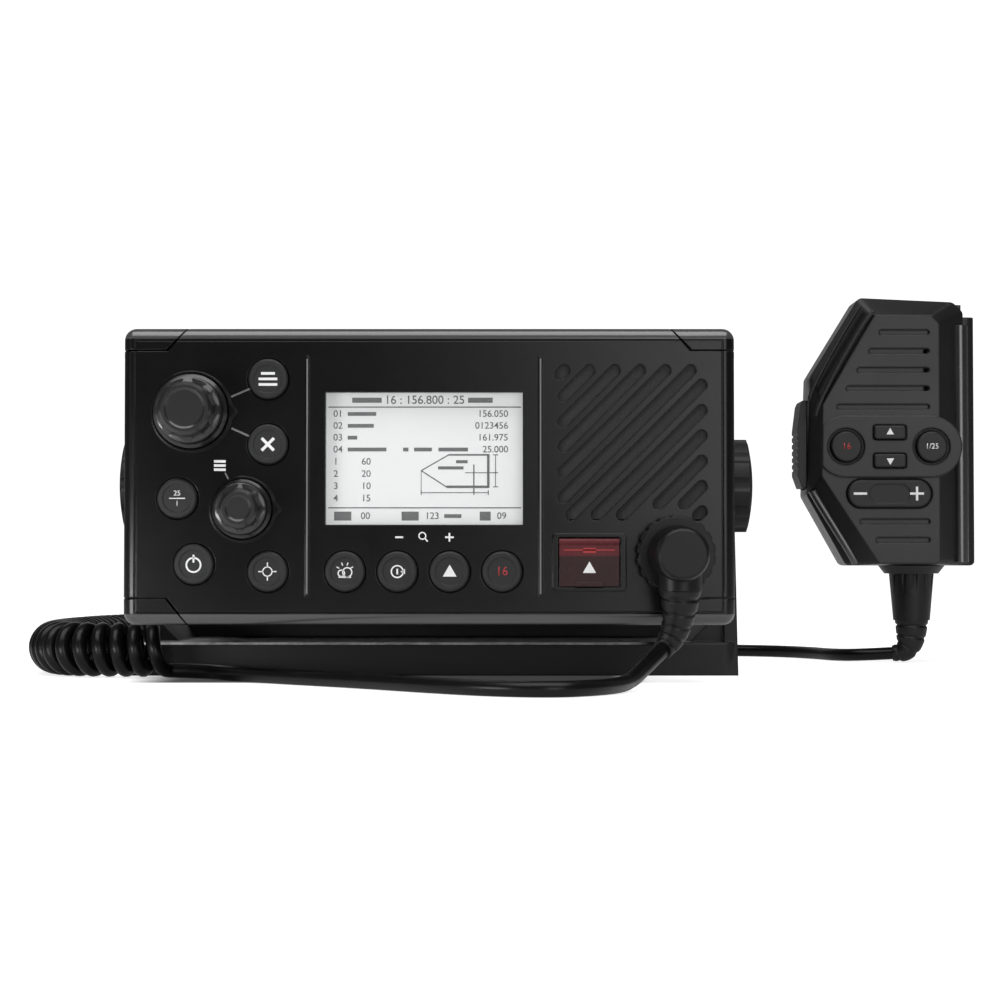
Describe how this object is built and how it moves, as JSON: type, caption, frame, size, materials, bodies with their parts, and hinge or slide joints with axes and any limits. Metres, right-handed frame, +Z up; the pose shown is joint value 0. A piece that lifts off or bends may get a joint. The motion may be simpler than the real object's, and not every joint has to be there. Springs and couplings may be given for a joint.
{
  "type": "marine vhf radio",
  "caption": "Fixed marine VHF radio on a gimbal bracket, with display, keys, knobs, speaker, flapped distress key and a fist handset on a curly cord.",
  "frame": {"origin": "centre of the gimbal bracket's foot, on the surface that it stands on", "axes": "+X to the radio's right seen from its front, +Y towards its rear (the face looks along -Y), +Z up"},
  "size_m": [0.3192, 0.2776, 0.1278],
  "materials": {
    "case_black": "matte",
    "case_soft_grey": "satin",
    "key_rubber": "matte",
    "knob_black": "satin",
    "clear_window": "clear",
    "display_glass": "satin",
    "board_green": "satin",
    "sheet_steel": "satin",
    "screw_steel": "satin",
    "cast_housing": "matte",
    "brass_insert": "satin",
    "nickel_socket": "satin",
    "washer_rubber": "matte",
    "speaker_paper": "matte",
    "flap_red": "satin",
    "cord_rubber": "satin"
  },
  "bodies": {
    "bracket": {"gimbal_bracket": "case_black", "handset_front": "case_black", "handset_rear": "case_black", "handset_board": "board_green", "handset_capsule": "nickel_socket", "ptt_pin": "screw_steel", "handset_screws": "screw_steel", "hanger_stud": "case_black", "handset_boot": "cord_rubber", "cord_lead": "cord_rubber", "cord_coil": "cord_rubber", "cord_rear_run": "cord_rubber"},
    "radio": {"front_bezel": "case_black", "corner_caps": "case_black", "display_window": "clear_window", "display_panel": "display_glass", "display_frame": "case_soft_grey", "keypad_mat": "key_rubber", "key_board": "board_green", "main_board": "board_green", "rf_shield": "sheet_steel", "front_gasket": "washer_rubber", "rear_housing": "cast_housing", "radio_screws": "screw_steel", "speaker_basket": "sheet_steel", "speaker_cone": "speaker_paper", "antenna_socket": "nickel_socket", "power_gland": "case_black", "data_socket": "nickel_socket", "encoders": "case_soft_grey", "distress_pin": "screw_steel", "mic_socket": "nickel_socket", "gimbal_inserts": "brass_insert", "gimbal_washers": "washer_rubber", "plug_body": "case_black", "plug_boot": "cord_rubber"},
    "key_menu": {"key_menu": "key_rubber"},
    "key_cancel": {"key_cancel": "key_rubber"},
    "key_level": {"key_level": "key_rubber"},
    "key_power": {"key_power": "key_rubber"},
    "key_mark": {"key_mark": "key_rubber"},
    "key_weather": {"key_weather": "key_rubber"},
    "key_scan": {"key_scan": "key_rubber"},
    "key_watch": {"key_watch": "key_rubber"},
    "key_sixteen": {"key_sixteen": "key_rubber"},
    "channel_shaft": {"channel_shaft": "nickel_socket"},
    "channel_knob": {"channel_knob": "knob_black"},
    "volume_shaft": {"volume_shaft": "nickel_socket"},
    "volume_knob": {"volume_knob": "knob_black"},
    "distress_cover": {"distress_cover": "flap_red"},
    "distress_key": {"distress_key": "flap_red"},
    "plug_ring": {"plug_ring": "case_black"},
    "gimbal_knob_left": {"gimbal_knob_left": "knob_black"},
    "gimbal_knob_right": {"gimbal_knob_right": "knob_black"},
    "ptt_lever": {"ptt_lever": "key_rubber"},
    "handset_key_call": {"handset_key_call": "key_rubber"},
    "handset_key_power": {"handset_key_power": "key_rubber"},
    "handset_key_up": {"handset_key_up": "key_rubber"},
    "handset_key_down": {"handset_key_down": "key_rubber"},
    "volume_rocker": {"volume_rocker": "key_rubber"}
  },
  "joints": [
    {"name": "radio_tilt", "type": "hinge", "parent": "bracket", "child": "radio", "pos_m": [0, 0, 0.06], "axis": [-1, 0, 0], "range_deg": [-4, 12], "deforming": ["cord_lead"]},
    {"name": "menu_press", "type": "slide", "parent": "radio", "child": "key_menu", "axis": [0, 1, 0], "range_m": [0, 0.0008], "stiffness_N_per_m": 900},
    {"name": "cancel_press", "type": "slide", "parent": "radio", "child": "key_cancel", "axis": [0, 1, 0], "range_m": [0, 0.0008], "stiffness_N_per_m": 900},
    {"name": "level_press", "type": "slide", "parent": "radio", "child": "key_level", "axis": [0, 1, 0], "range_m": [0, 0.0008], "stiffness_N_per_m": 900},
    {"name": "power_press", "type": "slide", "parent": "radio", "child": "key_power", "axis": [0, 1, 0], "range_m": [0, 0.0008], "stiffness_N_per_m": 900},
    {"name": "mark_press", "type": "slide", "parent": "radio", "child": "key_mark", "axis": [0, 1, 0], "range_m": [0, 0.0008], "stiffness_N_per_m": 900},
    {"name": "weather_press", "type": "slide", "parent": "radio", "child": "key_weather", "axis": [0, 1, 0], "range_m": [0, 0.0008], "stiffness_N_per_m": 900},
    {"name": "scan_press", "type": "slide", "parent": "radio", "child": "key_scan", "axis": [0, 1, 0], "range_m": [0, 0.0008], "stiffness_N_per_m": 900},
    {"name": "watch_press", "type": "slide", "parent": "radio", "child": "key_watch", "axis": [0, 1, 0], "range_m": [0, 0.0008], "stiffness_N_per_m": 900},
    {"name": "sixteen_press", "type": "slide", "parent": "radio", "child": "key_sixteen", "axis": [0, 1, 0], "range_m": [0, 0.0008], "stiffness_N_per_m": 900},
    {"name": "channel_press", "type": "slide", "parent": "radio", "child": "channel_shaft", "axis": [0, 1, 0], "range_m": [0, 0.0006], "stiffness_N_per_m": 1500},
    {"name": "volume_press", "type": "slide", "parent": "radio", "child": "volume_shaft", "axis": [0, 1, 0], "range_m": [0, 0.0006], "stiffness_N_per_m": 1500},
    {"name": "channel_turn", "type": "hinge", "parent": "channel_shaft", "child": "channel_knob", "pos_m": [-0.0687, -0.09, 0.0787], "axis": [0, -1, 0], "continuous": true},
    {"name": "volume_turn", "type": "hinge", "parent": "volume_shaft", "child": "volume_knob", "pos_m": [-0.0538, -0.09, 0.0505], "axis": [0, -1, 0], "continuous": true},
    {"name": "distress_cover_lift", "type": "hinge", "parent": "radio", "child": "distress_cover", "pos_m": [0.04625, -0.0805, 0.041], "axis": [-1, 0, 0], "range_deg": [0, 100], "stiffness_Nm_per_rad": 0.01, "springref_deg": -28.65},
    {"name": "distress_press", "type": "slide", "parent": "radio", "child": "distress_key", "axis": [0, 1, 0], "range_m": [0, 0.0008], "stiffness_N_per_m": 1200},
    {"name": "plug_ring_turn", "type": "hinge", "parent": "radio", "child": "plug_ring", "pos_m": [0.071, -0.084, 0.0374], "axis": [0, 1, 0], "range_deg": [0, 60]},
    {"name": "gimbal_knob_left_turn", "type": "hinge", "parent": "radio", "child": "gimbal_knob_left", "pos_m": [-0.0946, 0, 0.06], "axis": [-1, 0, 0], "continuous": true},
    {"name": "gimbal_knob_right_turn", "type": "hinge", "parent": "radio", "child": "gimbal_knob_right", "pos_m": [0.0946, 0, 0.06], "axis": [1, 0, 0], "continuous": true},
    {"name": "ptt_press", "type": "hinge", "parent": "bracket", "child": "ptt_lever", "pos_m": [0.13, 0.066, 0.0637], "axis": [0, 1, 0], "range_deg": [0, 3], "stiffness_Nm_per_rad": 0.9, "springref_deg": -1.15},
    {"name": "handset_call_press", "type": "slide", "parent": "bracket", "child": "handset_key_call", "axis": [0, 1, 0], "range_m": [0, 0.0007], "stiffness_N_per_m": 900},
    {"name": "handset_power_press", "type": "slide", "parent": "bracket", "child": "handset_key_power", "axis": [0, 1, 0], "range_m": [0, 0.0007], "stiffness_N_per_m": 900},
    {"name": "handset_up_press", "type": "slide", "parent": "bracket", "child": "handset_key_up", "axis": [0, 1, 0], "range_m": [0, 0.0007], "stiffness_N_per_m": 900},
    {"name": "handset_down_press", "type": "slide", "parent": "bracket", "child": "handset_key_down", "axis": [0, 1, 0], "range_m": [0, 0.0007], "stiffness_N_per_m": 900},
    {"name": "rocker_tilt", "type": "hinge", "parent": "bracket", "child": "volume_rocker", "pos_m": [0.1554, 0.0542, 0.0591], "axis": [0, 0, 1], "range_deg": [-2, 2], "stiffness_Nm_per_rad": 0.2}
  ]
}
